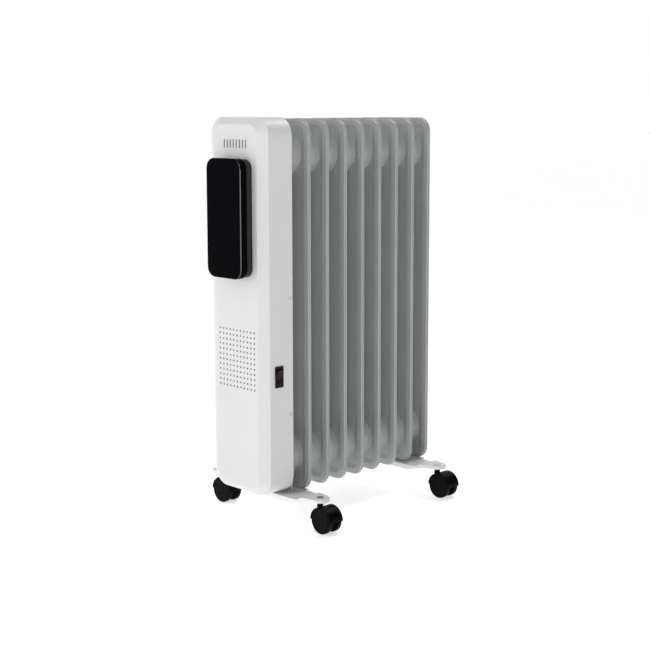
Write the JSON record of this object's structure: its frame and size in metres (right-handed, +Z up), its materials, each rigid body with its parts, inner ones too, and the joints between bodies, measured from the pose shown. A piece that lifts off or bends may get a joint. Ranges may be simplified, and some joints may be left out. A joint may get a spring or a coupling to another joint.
{
  "type": "oil filled radiator heater",
  "caption": "Upright oil filled radiator heater: pressed steel fins behind a slim control housing with vents and a black touch pod, on two crosswise feet with swivelling twin-wheel casters.",
  "frame": {"origin": "on the floor, below the middle of the whole heater's bounding box", "axes": "+Z up, -Y towards the side with the control pod, +X to the right when facing the control pod, the side with the rocker switch; all casters are stored trailing to +X"},
  "size_m": [0.284, 0.4068, 0.6267],
  "materials": {
    "white_shell": "satin, fine moulded texture",
    "grey_shell": "matte",
    "black_gloss": "high gloss",
    "black_trim": "satin",
    "red_rocker": "satin",
    "fin_paint": "satin powder coat",
    "foot_paint": "satin powder coat",
    "plain_steel": "zinc plated",
    "brass_parts": "machined",
    "gasket_rubber": "matte",
    "circuit_board": "satin",
    "blue_case": "satin",
    "pale_block": "satin",
    "caster_black": "satin"
  },
  "bodies": {
    "heater": {"front_cover": "white_shell", "rear_shell": "white_shell", "side_bracket_left": "plain_steel", "side_bracket_right": "plain_steel", "heat_shield": "plain_steel", "pod_base": "grey_shell", "pod_cover": "black_gloss", "touch_board": "circuit_board", "display_module": "black_trim", "pod_screws": "plain_steel", "power_board": "circuit_board", "power_relay": "blue_case", "tip_over_switch": "black_trim", "terminal_block": "pale_block", "thermal_cutout": "pale_block", "room_sensor": "black_trim", "switch_frame": "black_trim", "cord_gland": "black_trim", "housing_screws": "plain_steel", "fin_1": "fin_paint", "fin_2": "fin_paint", "fin_3": "fin_paint", "fin_4": "fin_paint", "fin_5": "fin_paint", "fin_6": "fin_paint", "fin_7": "fin_paint", "fin_8": "fin_paint", "fin_9": "fin_paint", "heating_element": "brass_parts", "element_gasket": "gasket_rubber", "oil_plug": "brass_parts", "plug_washer": "gasket_rubber", "front_foot": "foot_paint", "rear_foot": "foot_paint", "front_u_bolt": "plain_steel", "rear_u_bolt": "plain_steel", "wing_nuts": "plain_steel", "caster_pins": "plain_steel"},
    "rocker": {"switch_rocker": "red_rocker"},
    "front_right_swivel": {"caster_1_hood": "caster_black"},
    "front_right_wheels": {"caster_1_axle": "plain_steel", "caster_1_wheel_a": "caster_black", "caster_1_wheel_b": "caster_black"},
    "front_left_swivel": {"caster_2_hood": "caster_black"},
    "front_left_wheels": {"caster_2_axle": "plain_steel", "caster_2_wheel_a": "caster_black", "caster_2_wheel_b": "caster_black"},
    "rear_right_swivel": {"caster_3_hood": "caster_black"},
    "rear_right_wheels": {"caster_3_axle": "plain_steel", "caster_3_wheel_a": "caster_black", "caster_3_wheel_b": "caster_black"},
    "rear_left_swivel": {"caster_4_hood": "caster_black"},
    "rear_left_wheels": {"caster_4_axle": "plain_steel", "caster_4_wheel_a": "caster_black", "caster_4_wheel_b": "caster_black"}
  },
  "joints": [
    {"name": "rocker_tilt", "type": "hinge", "parent": "heater", "child": "rocker", "pos_m": [0.0535, -0.15243, 0.2364], "axis": [0, 1, 0], "range_deg": [-12, 0]},
    {"name": "front_right_swivel_turn", "type": "hinge", "parent": "heater", "child": "front_right_swivel", "pos_m": [0.1065, -0.11638, 0.03], "axis": [0, 0, 1], "continuous": true},
    {"name": "front_right_wheel_roll", "type": "hinge", "parent": "front_right_swivel", "child": "front_right_wheels", "pos_m": [0.1205, -0.11638, 0.02], "axis": [0, 1, 0], "continuous": true},
    {"name": "front_left_swivel_turn", "type": "hinge", "parent": "heater", "child": "front_left_swivel", "pos_m": [-0.1275, -0.11638, 0.03], "axis": [0, 0, 1], "continuous": true},
    {"name": "front_left_wheel_roll", "type": "hinge", "parent": "front_left_swivel", "child": "front_left_wheels", "pos_m": [-0.1135, -0.11638, 0.02], "axis": [0, 1, 0], "continuous": true},
    {"name": "rear_right_swivel_turn", "type": "hinge", "parent": "heater", "child": "rear_right_swivel", "pos_m": [0.1065, 0.15413, 0.03], "axis": [0, 0, 1], "continuous": true},
    {"name": "rear_right_wheel_roll", "type": "hinge", "parent": "rear_right_swivel", "child": "rear_right_wheels", "pos_m": [0.1205, 0.15413, 0.02], "axis": [0, 1, 0], "continuous": true},
    {"name": "rear_left_swivel_turn", "type": "hinge", "parent": "heater", "child": "rear_left_swivel", "pos_m": [-0.1275, 0.15413, 0.03], "axis": [0, 0, 1], "continuous": true},
    {"name": "rear_left_wheel_roll", "type": "hinge", "parent": "rear_left_swivel", "child": "rear_left_wheels", "pos_m": [-0.1135, 0.15413, 0.02], "axis": [0, 1, 0], "continuous": true}
  ]
}
